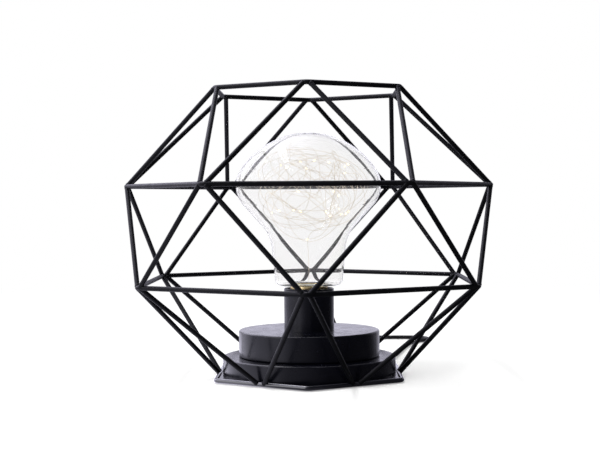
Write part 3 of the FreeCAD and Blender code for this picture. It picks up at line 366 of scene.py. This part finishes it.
def mesh_piece(name, vertices, faces, body, slot_name, stands_for=()):
    mesh = bpy.data.meshes.new(name)
    mesh.from_pydata([tuple(v) for v in vertices], [], faces)
    mesh.validate()
    mesh.shade_smooth()
    work = bmesh.new()
    work.from_mesh(mesh)
    bmesh.ops.recalc_face_normals(work, faces=work.faces)
    work.to_mesh(mesh)
    work.free()
    return settle(bpy.data.objects.new(name, mesh), body, slot_name, stands_for)


def lofted(sections):
    """Vertices and faces of a closed skin through rings of equal count, with both ends capped."""
    count = len(sections[0])
    vertices = [point for ring in sections for point in ring]
    faces = []
    for row in range(len(sections) - 1):
        for k in range(count):
            here = row * count + k
            there = row * count + (k + 1) % count
            faces.append((here, there, there + count, here + count))
    last = (len(sections) - 1) * count
    faces.append(tuple(reversed(range(count))))
    faces.append(tuple(range(last, last + count)))
    return vertices, faces


def ring(centre, axis, radius, count):
    """Circle of points round an axis; radius may be a function of the angle."""
    turn = UP.rotation_difference(axis)
    points = []
    for k in range(count):
        angle = 2 * math.pi * k / count
        reach = radius(angle) if callable(radius) else radius
        points.append(centre + turn @ Vector((reach * math.cos(angle), reach * math.sin(angle), 0)))
    return points


def turned(seat, axis, profile, count=40):
    """Skin of revolution from (radius, height) pairs in mm, standing on seat along axis."""
    return lofted([ring(seat + axis * (h * MM), axis, r * MM, count) for r, h in profile])


def gathered(skins):
    """Vertices and faces of several skins in one."""
    vertices = []
    faces = []
    for part, skin in skins:
        start = len(vertices)
        faces += [tuple(start + index for index in face) for face in skin]
        vertices += part
    return vertices, faces


def polar(radius, degrees, height):
    angle = math.radians(degrees)
    return Vector((radius * math.cos(angle), radius * math.sin(angle), height))


CURVE_STEPS = 6


def nurbs(name, points, radius, body, slot_name, stands_for=(), round_steps=4):
    """Smooth tube whose centreline has the points, in mm, as its control points."""
    curve = bpy.data.curves.new(name, "CURVE")
    curve.dimensions = "3D"
    curve.bevel_depth = radius * MM
    curve.bevel_resolution = round_steps
    curve.resolution_u = CURVE_STEPS
    curve.use_fill_caps = True
    spline = curve.splines.new("NURBS")
    spline.points.add(len(points) - 1)
    for control, point in zip(spline.points, points):
        control.co = (*(Vector(point) * MM), 1)
    spline.order_u = 3
    spline.use_endpoint_u = True
    return settle(bpy.data.objects.new(name, curve), body, slot_name, stands_for)


# Cord: lead from the lamp to the switch, then tail, coil and end to the plug
CORD_DIA = 3.2
LIE = CORD_DIA / 2 + 0.1
EXIT_ANGLE = 48
EXIT_Z = 7.5
DISC_RADIUS = 59
RELIEF_LENGTH = 12
SWITCH_MID = Vector((-3, 214.5, 5.5))
SWITCH_HALF = 23
COIL_TURNS = 5
COIL_MID = Vector((-24, 138, 0))
COIL_PITCH = 3.7
COIL_IN = 8.0
COIL_OUT = COIL_IN + COIL_TURNS * COIL_PITCH
COIL_LOW = 2.6
COIL_LEAD = Vector((0, 6.4, 0))
COIL_POINTS = 16
COIL_END = 2 * COIL_TURNS + 0.5
PLUG_MID = Vector((2.5, 160.4, 4))

exit_way = polar(1, EXIT_ANGLE, 0)
relief_end = exit_way * (DISC_RADIUS + RELIEF_LENGTH) + Vector((0, 0, EXIT_Z))
switch_in = SWITCH_MID + Vector((SWITCH_HALF, 0, 0))
switch_out = SWITCH_MID - Vector((SWITCH_HALF, 0, 0))


def coil_point(turns):
    """Spiral in on the lower layer, climb in the half turn at the middle, spiral out on the upper."""
    past = turns - COIL_TURNS
    radius = COIL_OUT - turns * COIL_PITCH
    height = COIL_LOW
    if past > 0.5:
        radius = COIL_IN + (past - 0.5) * COIL_PITCH
        height = COIL_LOW + COIL_PITCH
    elif past > 0:
        radius = COIL_IN - COIL_PITCH * past * (1 - 2 * past)
        height = COIL_LOW + COIL_PITCH * (3 * (2 * past) ** 2 - 2 * (2 * past) ** 3)
    return COIL_MID + polar(radius, 180 + 360 * turns, height)


lead_points = [
    relief_end,
    relief_end + exit_way * 9,
    (59.8, 75, 3.6),
    (64.0, 93, LIE),
    (69.9, 122, LIE),
    (75.2, 149, LIE),
    (81.6, 176, LIE),
    (90.0, 189.5, LIE),
    (98.2, 197.5, LIE),
    (98.2, 207.5, LIE),
    (90.4, 214.6, LIE),
    (74.0, 216.2, LIE),
    (54.0, 214.2, LIE),
    switch_in + Vector((18, 0.4, -2.2)),
    switch_in + Vector((9, 0, 0)),
    switch_in,
]
coil_start = coil_point(0) + COIL_LEAD
coil_end = coil_point(COIL_END) + COIL_LEAD
coil_steps = int(COIL_END * COIL_POINTS)
tail_points = [
    switch_out,
    switch_out + Vector((-8, 0, 0)),
    (-45, 209.5, 3.4),
    (-51, 198, LIE),
    (-51.4, 182, LIE),
    coil_start + Vector((-1.4, 21, 0)),
    coil_start + Vector((0, 10, 0)),
    coil_start,
]
tail_points += [coil_point(COIL_END * k / coil_steps) for k in range(coil_steps + 1)]
tail_points += [
    coil_end,
    coil_end + Vector((0, 4, 0)),
    PLUG_MID + Vector((0, -4, 0)),
    PLUG_MID,
]
lead_cord = nurbs("lead_cord", lead_points, CORD_DIA / 2, "lamp", "cord_rubber", ["cord_lead"], 6)
tail_cord = nurbs(
    "tail_cord", tail_points, CORD_DIA / 2, "lamp", "cord_rubber",
    ["cord_tail", "cord_coil", "cord_end"], 6,
)


# Moulded reliefs, ribbed and tapering along the cord
RIB_STEPS = 6
RIB_DEPTH = 0.4
SLEEVE_RADIUS = 2.9
RELIEF_TIP = 2.1
BOOT_TIP = 2.0
FLANGE_RADIUS = 4.4
GLAND_RADIUS = 3.2
LIP_END = 2


def ribbed(start, end, length, ribs):
    """Profile from radius start to radius end with rounded grooves."""
    profile = []
    steps = ribs * RIB_STEPS
    for k in range(steps + 1):
        share = k / steps
        radius = start + (end - start) * share
        groove = 0.5 - 0.5 * math.cos(2 * math.pi * ribs * share)
        profile.append((radius - RIB_DEPTH * groove * (1 - share * 0.5), length * share))
    return profile


def relief_piece():
    """Flange inside the disc's wall, gland through it, lip outside, then the ribbed sleeve."""
    profile = [(0.01, -2.7), (FLANGE_RADIUS, -2.7), (FLANGE_RADIUS, -1.5), (GLAND_RADIUS, -1.5)]
    profile += [(GLAND_RADIUS, 0.3), (FLANGE_RADIUS - 0.2, 0.3), (FLANGE_RADIUS, 0.5)]
    profile += [(FLANGE_RADIUS, 1.3), (FLANGE_RADIUS - 0.3, 1.6)]
    sleeve = ribbed(SLEEVE_RADIUS, RELIEF_TIP, RELIEF_LENGTH - LIP_END, 5)
    profile += [(radius, LIP_END + height) for radius, height in sleeve]
    seat = (exit_way * DISC_RADIUS + Vector((0, 0, EXIT_Z))) * MM
    vertices, faces = turned(seat, exit_way, profile)
    return mesh_piece("ribbed_relief", vertices, faces, "lamp", "cord_rubber", ["strain_relief"])


def boot(name, seat, way, length):
    profile = [(SLEEVE_RADIUS, -0.3)] + ribbed(SLEEVE_RADIUS, BOOT_TIP, length, 4)
    vertices, faces = turned(Vector(seat) * MM, Vector(way), profile, 28)
    return mesh_piece(name, vertices, faces, "lamp", "cord_rubber")


relief_piece()
boots = [
    boot("switch_boot_in", switch_in, (1, 0, 0), 8),
    boot("switch_boot_out", switch_out, (-1, 0, 0), 7),
    boot("plug_boot", PLUG_MID, (0, -1, 0), 4.5),
]


# Tie round the coil: a soft closed strap with rounded corners and edges
TIE_ANGLE = 100
TIE_WIDTH = 6
TIE_THICK = 0.7
TIE_GAP = 0.3
TIE_CORNERS = (1.8, 2.4)
TIE_EDGE = 0.94


def rounded_box_path(low, high, corner, steps=6):
    """Closed path with round corners in a plane, as pairs."""
    middles = [
        (high[0] - corner, high[1] - corner, 0),
        (low[0] + corner, high[1] - corner, 90),
        (low[0] + corner, low[1] + corner, 180),
        (high[0] - corner, low[1] + corner, 270),
    ]
    path = []
    for x, y, start in middles:
        for k in range(steps + 1):
            angle = math.radians(start + 90 * k / steps)
            path.append((x + corner * math.cos(angle), y + corner * math.sin(angle)))
    return path


def tie_piece():
    gap = TIE_GAP + CORD_DIA / 2
    low = (COIL_IN - gap, TIE_THICK)
    high = (COIL_OUT + gap, TIE_THICK + COIL_PITCH + 2 * gap)
    outer_low = [value - TIE_THICK for value in low]
    outer_high = [value + TIE_THICK for value in high]
    inner = rounded_box_path(low, high, TIE_CORNERS[0])
    outer = rounded_box_path(outer_low, outer_high, TIE_CORNERS[1])
    way = polar(1, TIE_ANGLE, 0)
    across = polar(1, TIE_ANGLE + 90, 0)
    edge = TIE_WIDTH / 2
    brink = edge * TIE_EDGE

    def spot(pair, shift):
        return (COIL_MID + way * pair[0] + across * shift + Vector((0, 0, pair[1]))) * MM

    count = len(inner)
    vertices = []
    for pair_in, pair_out in zip(inner, outer):
        middle = ((pair_in[0] + pair_out[0]) / 2, (pair_in[1] + pair_out[1]) / 2)
        vertices += [spot(pair_in, -brink), spot(middle, -edge), spot(pair_out, -brink)]
        vertices += [spot(pair_out, brink), spot(middle, edge), spot(pair_in, brink)]
    faces = []
    for k in range(count):
        here = 6 * k
        there = 6 * ((k + 1) % count)
        for side in range(6):
            turn = (side + 1) % 6
            faces.append((here + side, here + turn, there + turn, there + side))
    return mesh_piece("tie_strap", vertices, faces, "lamp", "tie_fabric", ["coil_tie"])


tie_strap = tie_piece()


# Plug moulding with finger grooves
PLUG_HALF_WIDTH = 8
PLUG_HALF_HEIGHT = 4
PLUG_CORNER = 2.2
PLUG_GROOVES = (9, 12.5, 16)
GROOVE_SHARE = 0.92


def plug_piece():
    """Sections along the plug: a place in mm and a share of the full section."""
    profile = [(0.0, 0.66), (0.6, 0.78), (3.0, 0.9), (6.0, 1.0)]
    for groove in PLUG_GROOVES:
        profile += [(groove - 1.0, 1.0), (groove - 0.4, GROOVE_SHARE)]
        profile += [(groove + 0.4, GROOVE_SHARE), (groove + 1.0, 1.0)]
    profile += [(23.8, 1.0), (24.7, 0.96), (25.0, 0.9)]
    sections = []
    for along, share in profile:
        wide = PLUG_HALF_WIDTH * share
        high = PLUG_HALF_HEIGHT * share
        outline = rounded_box_path((-wide, -high), (wide, high), PLUG_CORNER * share)
        sections.append([(PLUG_MID + Vector((x, along, z))) * MM for x, z in outline])
    vertices, faces = lofted(sections)
    return mesh_piece("plug_grip", vertices, faces, "lamp", "cord_rubber", ["plug_body"])


plug_grip = plug_piece()


# Bulb cap: a thin brass shell with a rolled thread
CAP_RADIUS = 13.0
CAP_WALL = 0.09
CAP_FOOT = ((9.5, 45.3), (9.5, 46.6))
CAP_RIM = (
    (12.9, 60.6), (13.0, 61.0), (13.0, 61.8), (12.85, 62.0), (12.6, 62.0), (12.5, 61.8), (12.5, 60.6),
)
THREAD_PITCH = 3.63
THREAD_DEPTH = 0.45
THREAD_LOW = 51.9
THREAD_HIGH = 60.2
THREAD_ROWS = 60
THREAD_RUNOUT = 8
CAP_FACETS = 96


def cap_ring(radius, height):
    return ring(UP * (height * MM), UP, radius, CAP_FACETS)


def thread_ring(share, wall):
    """Ring of the rolled thread at a share of its height; wall is how far inside the brass it lies."""
    height = THREAD_LOW + (THREAD_HIGH - THREAD_LOW) * share
    depth = THREAD_DEPTH * min(1.0, THREAD_RUNOUT * share, THREAD_RUNOUT * (1 - share))

    def reach(angle):
        wave = 0.5 - 0.5 * math.cos(2 * math.pi * height / THREAD_PITCH - angle)
        return (CAP_RADIUS - wall - depth * wave) * MM

    return cap_ring(reach, height)


def cap_piece():
    """Up the outside, over the rim and down the inside, closed by a seam at the foot."""
    shares = [k / THREAD_ROWS for k in range(THREAD_ROWS + 1)]
    sections = [cap_ring(r * MM, h) for r, h in CAP_FOOT]
    sections += [thread_ring(share, 0) for share in shares]
    sections += [cap_ring(r * MM, h) for r, h in CAP_RIM]
    sections += [thread_ring(share, CAP_WALL) for share in reversed(shares)]
    sections += [cap_ring((r - CAP_WALL) * MM, h) for r, h in reversed(CAP_FOOT)]
    vertices, faces = lofted(sections)
    last = len(vertices) - CAP_FACETS
    after = [(k + 1) % CAP_FACETS for k in range(CAP_FACETS)]
    seam = [(last + k, last + there, there, k) for k, there in enumerate(after)]
    return mesh_piece("threaded_cap", vertices, faces[:-2] + seam, "bulb", "cap_brass", ["bulb_cap"])


cap_piece()


# Light string inside the globe: fine wire in loose loops and crumpled runs, with resin drops along it
FAIRY_LOOPS = 8
LOOP_POINTS = 12
GLOBE_MID = Vector((0, 0, 128))
GLOBE_RADIUS = 49.5
LOOP_REACH = 0.82
LOOP_SHRINK = 0.3
LOOP_LEAN = math.radians(62)
LOOP_SPIN = math.radians(107)
LOOP_HEIGHT = 0.72
NEST_RUNS = 56
NEST_PROFILE = (
    (56, 5), (80, 22), (87, 23), (96, 25), (105, 31.5), (115, 40.5), (125, 46.5),
    (135, 46.5), (145, 41), (154, 31.5), (160, 21), (163, 13),
)
NEST_LOW = 86
WIRE_RADIUS = 0.12
WIRE_STRAY = 3.0
WIRE_SPREAD = 0.07
STEM_HEIGHTS = (56, 68, 80)
RUN_SHORTEST = 20
RUN_LONGEST = 60
RUN_INNERMOST = 0.6
FIRST_DROP = 7
LOOP_DROP_STEP = 6
RUN_DROP_STEP = 7
DROP_PROFILE = ((0.1, -1.1), (0.36, -0.8), (0.52, -0.3), (0.54, 0.2), (0.38, 0.7), (0.1, 1.0))


def fairy_point(turns):
    """Tilted loops that draw inwards, sprung a little wider than wound."""
    shrink = (LOOP_SHRINK - WIRE_SPREAD) * turns / FAIRY_LOOPS
    reach = GLOBE_RADIUS * (LOOP_REACH + WIRE_SPREAD - shrink)
    angle = 2 * math.pi * turns - math.pi / 2
    flat = Vector((math.cos(angle), math.sin(angle) * math.cos(LOOP_LEAN), 0))
    spun = Matrix.Rotation(LOOP_SPIN * turns, 3, "Z") @ flat
    rise = LOOP_HEIGHT * math.sin(angle) * math.sin(LOOP_LEAN)
    return GLOBE_MID + Vector((spun.x, spun.y, rise)) * reach


def any_way(luck):
    return Vector((luck.gauss(0, 1), luck.gauss(0, 1), luck.gauss(0, 1))).normalized()


def nest_radius(height):
    """Free radius inside the glass at a height."""
    for (low, first), (high, second) in zip(NEST_PROFILE, NEST_PROFILE[1:]):
        if height <= high:
            return first + (second - first) * (height - low) / (high - low)


def inside(spot):
    """The spot, drawn in where it would touch the glass."""
    free = nest_radius(spot.z)
    share = min(1.0, free / max(spot.xy.length, 0.1))
    return Vector((spot.x * share, spot.y * share, spot.z))


def crumpled_runs(luck):
    """Bends scattered through the globe, each run a good way from the one before."""
    points = []
    last = GLOBE_MID
    while len(points) < NEST_RUNS:
        height = luck.uniform(NEST_LOW, NEST_PROFILE[-1][0])
        reach = nest_radius(height) * luck.uniform(RUN_INNERMOST, 1.0)
        spot = polar(reach, luck.uniform(0, 360), height)
        if RUN_SHORTEST < (spot - last).length < RUN_LONGEST:
            points.append(spot)
            last = spot
    return points


def light_string():
    """The wire; gives the stretches of it where drops sit."""
    points = [UP * height for height in STEM_HEIGHTS]
    steps = FAIRY_LOOPS * LOOP_POINTS
    luck = random.Random(11)
    for k in range(steps + 1):
        stray = any_way(luck) * luck.uniform(0, WIRE_STRAY)
        points.append(inside(fairy_point(FAIRY_LOOPS * k / steps) + stray))
    wound = len(points)
    points += crumpled_runs(luck)
    nurbs("light_wire", points, WIRE_RADIUS, "bulb", "copper_wire", ["fairy_wire"], 2)
    seats = [*range(FIRST_DROP, wound - 1, LOOP_DROP_STEP), *range(wound, len(points) - 1, RUN_DROP_STEP)]
    return [(points[k], points[k + 1]) for k in seats]


def drop_piece(spots):
    """Resin drops, each swollen at the middle, in line with the wire."""
    skins = []
    for here, there in spots:
        way = (there - here).normalized()
        skins.append(turned((here + there) / 2 * MM, way, DROP_PROFILE, 10))
    return mesh_piece("light_drops", *gathered(skins), "bulb", "led_resin", ["led_beads"])


drop_piece(light_string())


# Weld beads where the struts meet the rings
CAGE_RADIUS = 125
TOP_RADIUS = 70
FOOT_APOTHEM = 61.1
STRUT_OFFSET = 2.2
RING_Z = {"foot": 1.9, "lower": 65, "upper": 130, "top": 194}
BEAD_INSET = 1.5
BEAD_RADIUS = (1.7, 1.85)
BEAD_HALF = 1.9
BEAD_SLICES = (-1.45, -1.0, -0.5, 0.0, 0.5, 1.0, 1.45)


def near_corner(radius, degrees, height, side):
    corner = polar(radius, degrees, height)
    return corner + (polar(radius, degrees + 60 * side, height) - corner).normalized() * STRUT_OFFSET


def strut_ends():
    """Start and end of every strut's middle line."""
    ends = []
    for k in range(6):
        angle = 30 + 60 * k
        for side in (1, -1):
            beside = angle + 30 * side
            upper = near_corner(CAGE_RADIUS, beside, RING_Z["upper"], -side)
            lower = near_corner(CAGE_RADIUS, angle, RING_Z["lower"], side)
            top = near_corner(TOP_RADIUS, angle, RING_Z["top"], side)
            shift = polar(STRUT_OFFSET * side, beside + 90, 0)
            foot = polar(FOOT_APOTHEM, beside, RING_Z["foot"]) - shift
            ends += [(upper, top), (lower, upper), (foot, lower)]
    return ends


def weld_beads():
    """Rounded swellings just inside both ends of every strut."""
    luck = random.Random(3)
    skins = []
    for start, end in strut_ends():
        way = (end - start).normalized()
        for spot in (start + way * BEAD_INSET, end - way * BEAD_INSET):
            swell = luck.uniform(*BEAD_RADIUS)
            profile = [(swell * math.cos(a), BEAD_HALF * math.sin(a)) for a in BEAD_SLICES]
            skins.append(turned(spot * MM, way, profile, 14))
    return mesh_piece("weld_beads", *gathered(skins), "lamp", "black_paint")


dress(weld_beads(), "wire_paint")


# Printed marks on the rocker: a bar on one half and a ring on the other
ROCKER_PIVOT = Vector((-3, 214.5, 7.48))
ROCKER_REST = math.radians(10)
ROCKER_SLOPE = math.atan2(1.3, 9.4)
ROCKER_DIP = 2.95
MARK_SUNK = -0.1
MARK_PROUD = 0.06
MARK_FACETS = 32


def rocker_mark(name, along, inner, outer, stretch):
    """Flat printed ring on the rocker's top; stretch narrows it to a bar."""
    lift = ROCKER_DIP + abs(along) * math.tan(ROCKER_SLOPE)
    lean = Matrix.Rotation(-math.copysign(ROCKER_SLOPE, along), 3, "Y")
    turn = Matrix.Rotation(ROCKER_REST, 3, "Y")
    count = MARK_FACETS
    outline = ((inner, MARK_SUNK), (inner, MARK_PROUD), (outer, MARK_PROUD), (outer, MARK_SUNK))
    vertices = []
    for radius, height in outline:
        for k in range(count):
            angle = 2 * math.pi * k / count
            flat = Vector((radius * math.cos(angle) * stretch, radius * math.sin(angle), height))
            vertices.append((ROCKER_PIVOT + turn @ (Vector((along, 0, lift)) + lean @ flat)) * MM)
    faces = []
    for row in range(4):
        for k in range(count):
            there = (k + 1) % count
            other = (row + 1) % 4 * count
            faces.append((row * count + k, row * count + there, other + there, other + k))
    return mesh_piece(name, vertices, faces, "rocker", "tongue_plastic")


rocker_mark("rocker_ring", -5.4, 1.15, 1.55, 1.0)
rocker_mark("rocker_bar", 5.4, 0.02, 1.6, 0.16)


# CAD nodes that stay shown get their materials
for node_name, node_object in nodes.items():
    if not node_object.hide_render:
        dress(node_object, finish_of(node_name))


# Floor, light and white surroundings; distances in metres from the lamp's middle
FLOOR_COLOUR = (0.9, 0.9, 0.9, 1)
FLOOR_LIFT = 0.3
FLOOR_FADE = (0.3, 0.9, 0.0, 1.0)
FLOOR_MIRROR = (0.1, 0.5, 1.0, 0.55)
FLOOR_HALF = 30
FLOOR_DROP = 0.0002
SOFT_LIGHT = 0.55
LIGHT_AIM = Vector((0, 0, 0.1))


def floor_material():
    """White, fading to plain white far from the lamp; the lamp's shadow stays on it."""
    shader = Shader("white_floor")
    matte = shader.add("ShaderNodeBsdfDiffuse")
    matte.inputs["Color"].default_value = FLOOR_COLOUR
    seen, gloss = shader.ray()
    lift = shader.glow("ShaderNodeEmission", shader.math("MULTIPLY", seen, FLOOR_LIFT))
    near = shader.add("ShaderNodeAddShader")
    shader.link(matte.outputs[0], near.inputs[0])
    shader.link(lift, near.inputs[1])
    place = shader.place()
    distance = shader.add("ShaderNodeVectorMath", operation="LENGTH")
    shader.link(place, distance.inputs[0])
    fade = shader.span(distance.outputs["Value"], *FLOOR_FADE)
    plain = shader.mix(fade, near.outputs[0], shader.glow("ShaderNodeEmission", 1.0))
    outward = shader.add("ShaderNodeVectorMath", operation="NORMALIZE")
    shader.link(place, outward.inputs[0])
    shade = shader.span(distance.outputs["Value"], *FLOOR_MIRROR)
    strength = shader.math("MULTIPLY", shader.room(outward.outputs["Vector"]), shade)
    mirrored = shader.glow("ShaderNodeEmission", strength, ROOM_TINT)
    shader.link(shader.mix(gloss, plain, mirrored), shader.out.inputs["Surface"])
    return shader.owner


def make_floor():
    corners = [(x * FLOOR_HALF, y * FLOOR_HALF, 0) for x, y in ((-1, -1), (1, -1), (1, 1), (-1, 1))]
    mesh = bpy.data.meshes.new("floor")
    mesh.from_pydata(corners, [], [(0, 1, 2, 3)])
    floor = bpy.data.objects.new("floor", mesh)
    floor.location.z = -FLOOR_DROP
    floor.data.materials.append(floor_material())
    scene.collection.objects.link(floor)


def make_world():
    """Soft even light; the camera and glass see plain white, and gloss sees the studio."""
    shader = Shader("white_room", world=True)
    direction = shader.add("ShaderNodeTexCoord").outputs["Generated"]
    seen, gloss = shader.ray()
    soft = shader.glow("ShaderNodeBackground", SOFT_LIGHT)
    white = shader.glow("ShaderNodeBackground", 1.0)
    mirrored = shader.glow("ShaderNodeBackground", shader.room(direction), ROOM_TINT)
    shown = shader.mix(gloss, white, mirrored)
    shader.link(shader.mix(seen, soft, shown), shader.out.inputs["Surface"])
    scene.world = shader.owner


def softbox(name, place, width, height, power):
    """Area light aimed at the lamp."""
    data = bpy.data.lights.new(name, "AREA")
    data.shape = "RECTANGLE"
    data.size = width
    data.size_y = height
    data.energy = power
    lamp = bpy.data.objects.new(name, data)
    lamp.location = place
    lamp.rotation_euler = (LIGHT_AIM - Vector(place)).to_track_quat("-Z", "Y").to_euler()
    scene.collection.objects.link(lamp)


make_floor()
make_world()
softbox("left_box", (-1.3, -0.75, 0.55), width=1.2, height=1.2, power=14)
softbox("top_strip", (-0.5, 0.0, 1.3), width=1.5, height=0.15, power=9)
